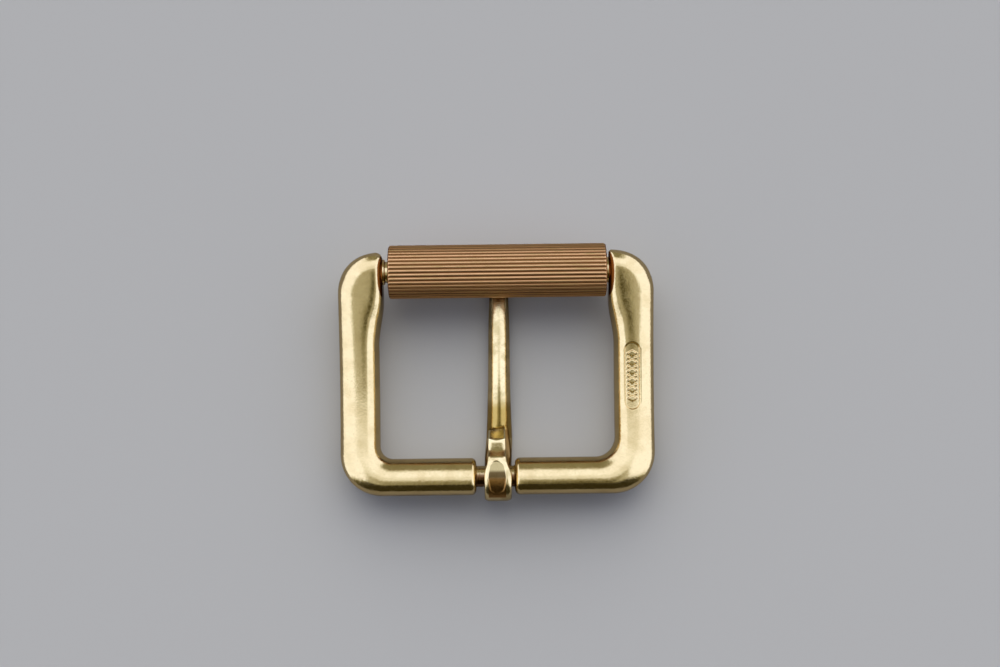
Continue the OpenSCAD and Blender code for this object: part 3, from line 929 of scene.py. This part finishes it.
def eyeSunk(fromTop):
    # How deep the panel on the eye is sunk, at a way from the eye's highest line towards the tip
    panel = eyePanel
    rear = radians(panel["rear"]) * tongue["eyeRadius"]

    def sunkAt(across):
        across -= panel["off"]
        front = panel["front"] - panel["arch"] * min(abs(across) / panel["halfFront"], 1.0) ** 2
        half = mix(panel["halfFront"], panel["half"], ramp(panel["front"] - fromTop, 0.0, panel["widens"]))
        depth = ramp(front - fromTop, 0.0, panel["edge"]) * ramp(fromTop + rear, 0.0, panel["edge"])
        return panel["deep"] * depth * ramp(half - abs(across), 0.0, panel["edge"])

    return sunkAt


def bendSeam(ring, seamY):
    # The seam at the end of the lap is a shallow curve that rises to the right
    size = tongue
    for place in ring:
        share = (place.x - size["middleX"] + size["lapOff"]) / size["lapWide"] + 0.5
        near = 1 - ramp(abs(place.y - seamY), *size["seamNear"])
        place.y += near * (size["seamRise"] * ramp(share, *size["seamRange"]) - size["seamDip"])
    return ring


def makeTongue():
    size = tongue
    thick = size["thick"]
    rootY, tipY = heelAxis.y + size["rootOff"], rollerAxis.y + size["tipPast"]
    rootLow, tipLow = heelAxis.z - size["eyeRadius"], size["restGap"]
    seamY = heelAxis.y + size["lapLong"]
    topZ = heelAxis.z + size["eyeRadius"]
    cutFrom, cutTo = (seamY + edge for edge in size["cutEdge"])
    bulgeFrom, bulgeTo = (rootY + edge for edge in size["bulgeEdge"])

    def shankAt(y):
        share = min(1.0, max(0.0, (y - rootY) / (tipY - rootY)))
        wide, lift, part = valuesAt(shankTable, share)
        low = mix(rootLow, tipLow, share) + size["arch"] * lift
        return low, low + thick * part, size["shankWide"] * wide

    def lean(y):
        offset = size["shankOff"] * ramp(y, rootY, seamY - 1)
        return size["middleX"] + offset + size["tipLean"] * max(0.0, y - seamY) / (tipY - rootY)

    rings = []
    for index in range(size["shankRings"]):
        share = 1 - index / size["shankRings"]
        y = mix(rootY, tipY, 1 - (1 - share) ** size["tipCrowd"])
        low, high, wide = shankAt(y)
        high -= size["seamCut"] * ramp(y, cutFrom, cutTo)
        rings.append(bendSeam(stripRing(
            Vector((y, low)), Vector((y, high)), wide, wide, size["shankRound"], size["faceRound"],
            lean(y), ramp(y, bulgeFrom, bulgeTo),
        ), seamY))
    centre = Vector((heelAxis.y, heelAxis.z))
    for index in range(size["eyeRings"] + 1):
        # From the underside round the rear to the top
        turn = radians(-90 - 180 * index / size["eyeRings"])
        way = Vector((cos(turn), sin(turn)))
        past = (turn + radians(270)) * size["eyeRadius"]
        edgeRound = mixWidths(size["rearRound"], size["eyeRound"], ramp(past, *size["eyeFrom"]))
        rings.append(stripRing(
            centre + way * size["eyeRadius"], centre + way * size["boreRadius"],
            size["eyeWide"], size["eyeWide"], edgeRound, size["boreRound"],
            size["middleX"], 0.0, eyeSunk(past),
        ))
    lapFoot = shankAt(seamY)[1]
    for index in range(1, size["lapRings"] + 1):
        share = index / size["lapRings"]
        y = heelAxis.y + size["lapLong"] * share
        wide, tall = valuesAt(lapTable, share)
        outer = Vector((y, mix(lapFoot - size["lapSink"], topZ, tall)))
        innerY = mix(heelAxis.y, y, ramp(share, 0.0, size["overBore"]))
        fromAxis = innerY - heelAxis.y
        innerZ = shankAt(y)[1] - size["seamCut"] + size["seamGap"]
        if fromAxis < size["boreRadius"]:
            onBore = heelAxis.z + sqrt(size["boreRadius"] ** 2 - fromAxis ** 2)
            innerZ = mix(onBore, innerZ, ramp(share, *size["offBore"]))
        wideHere = size["lapWide"] * wide
        edgeRound = mixWidths(size["eyeRound"], size["lapRound"], ramp(share, *size["lapFrom"]))
        edgeRound = mixWidths(edgeRound, size["tipRound"], ramp(share, *size["tipFrom"]))
        edgeRound = mixWidths(edgeRound, size["facetRound"], ramp(share, *size["facetFrom"]))
        middleX = size["middleX"] - size["lapOff"] * ramp(share, 0.0, size["overBore"])
        rings.append(bendSeam(stripRing(
            outer, Vector((innerY, innerZ)), wideHere, wideHere + size["lapSpread"], edgeRound,
            size["footRound"], middleX, 0.0, eyeSunk(y - heelAxis.y),
        ), seamY))
    bm = bmesh.new()
    loftRings(bm, rings, False)
    slope = (shankAt(seamY)[1] - shankAt(rootY)[1]) / (seamY - rootY)
    material = tongueBrassMaterial(seamY, (rootY, shankAt(rootY)[1], slope))
    finishPiece(bm, "bentTongue", "tongue", material)


# Camera, floor and light

cameraSetting = {"over": (0.63, 6.7), "height": 275.0, "turn": -0.7, "lens": 57.2, "sensor": 36.0}


def makeCamera():
    look = cameraSetting
    data = bpy.data.cameras.new("camera")
    data.lens, data.sensor_width = look["lens"], look["sensor"]
    data.clip_start, data.clip_end = 0.01, 10
    camera = bpy.data.objects.new("camera", data)
    camera.location = (look["over"][0] * mm, look["over"][1] * mm, look["height"] * mm)
    camera.rotation_euler = (0, 0, radians(look["turn"]))
    bpy.context.collection.objects.link(camera)
    bpy.context.scene.camera = camera


floorSetting = {
    "size": 2.0, "colour": (0.50, 0.49, 0.46, 1), "mirrored": (0.29, 0.27, 0.24, 1), "roughness": 0.75,
}


def makeFloor():
    bm = bmesh.new()
    bmesh.ops.create_grid(bm, x_segments=1, y_segments=1, size=floorSetting["size"])
    floor = newObject(bm, "floor")
    material, nodes, shader = newMaterial("paleFloor", 0.0)
    seen = nodes.add("ShaderNodeLightPath").outputs["Is Camera Ray"]
    colour = nodes.blend(seen, floorSetting["mirrored"], floorSetting["colour"])
    nodes.feed(shader.inputs["Base Color"], colour)
    shader.inputs["Roughness"].default_value = floorSetting["roughness"]
    shader.inputs["Specular IOR Level"].default_value = 0.0
    floor.data.materials.append(material)


studio = {
    "dark": 0.03, "olive": 0.53, "overhead": 1.12, "north": 1.40, "horizon": 0.26, "side": 1.45,
    "steps": ((-0.62, "dark"), (-0.46, "olive"), (-0.09, "olive"), (0.03, "overhead"), (0.16, "overhead"),
              (0.28, "north"), (0.62, "north"), (0.78, "horizon")),
    "sideFrom": 0.20, "sideTo": 0.36, "wedge": 0.5, "wedgeBack": 0.15, "sideDark": (-0.66, -0.48),
    "sideLeast": 0.1, "spotEdge": (0.1, 1.0),
    # Dimmer places: middle, half widths and brightness share
    "spots": ((0.05, -0.33, 0.22, 0.34, 0.5), (0.09, -0.42, 0.12, 0.17, 0.25)),
    "red": (0.93, 0.93), "blue": (1.2, 1.38), "seen": (0.56, 0.56, 0.565, 1),
    "fill": 0.08, "key": 3.2, "keyFrom": 0.15, "keyTo": 0.75,
}


def makeLight():
    look = studio
    world = bpy.data.worlds.new("softStudio")
    world.use_nodes = True
    bpy.context.scene.world = world
    nodes = Nodes(world.node_tree)
    background = world.node_tree.nodes["Background"]
    x, y = nodes.axes(nodes.add("ShaderNodeTexCoord").outputs["Generated"])[0:2]
    # What the metal mirrors: a dark front, a grey overhead, a bright back and two bright sides
    level = look["dark"]
    for (start, one), (end, other) in zip(look["steps"], look["steps"][1:]):
        if look[one] != look[other]:
            level = nodes.maths("ADD", level, nodes.smooth(y, start, end, 0.0, look[other] - look[one]))
    for spotX, spotY, wide, long, shade in look["spots"]:
        offX = nodes.maths("DIVIDE", nodes.away(x, spotX), wide)
        offY = nodes.maths("DIVIDE", nodes.away(y, spotY), long)
        away = nodes.maths("ADD", nodes.product(offX, offX), nodes.product(offY, offY))
        level = nodes.product(level, nodes.smooth(away, *look["spotEdge"], shade, 1.0))
    inFront = nodes.product(nodes.maths("MINIMUM", y, 0.0), look["wedge"])
    behind = nodes.product(nodes.maths("MAXIMUM", y, 0.0), look["wedgeBack"])
    sideways = nodes.maths("ADD", nodes.maths("ABSOLUTE", x), nodes.maths("SUBTRACT", inFront, behind))
    side = nodes.smooth(sideways, look["sideFrom"], look["sideTo"])
    lit = nodes.smooth(y, *look["sideDark"], look["sideLeast"], look["side"])
    level = nodes.maths("ADD", level, nodes.product(side, nodes.maths("SUBTRACT", lit, level)))
    # Bright places are cooler and dim ones warmer
    red, blue = (
        nodes.product(nodes.maths("POWER", level, power), share)
        for share, power in (look["red"], look["blue"])
    )
    mirrored = nodes.add("ShaderNodeCombineXYZ")
    for socket, value in zip(mirrored.inputs, (red, level, blue)):
        nodes.feed(socket, value)
    # What lights the floor: a soft key from the back over a low fill
    key = nodes.product(nodes.smooth(y, look["keyFrom"], look["keyTo"]), look["key"])
    lighting = nodes.maths("ADD", key, look["fill"])
    path = nodes.add("ShaderNodeLightPath")
    colour = nodes.blend(path.outputs["Is Diffuse Ray"], mirrored.outputs[0], lighting)
    colour = nodes.blend(path.outputs["Is Camera Ray"], colour, look["seen"])
    nodes.feed(background.inputs["Color"], colour)


makeCamera()
makeFloor()
makeLight()
print("camera, floor and light are set")
makeFrame()
makeRoller()
makeTongue()
bpy.context.scene.view_settings.view_transform = "Standard"
print("all pieces are in place")
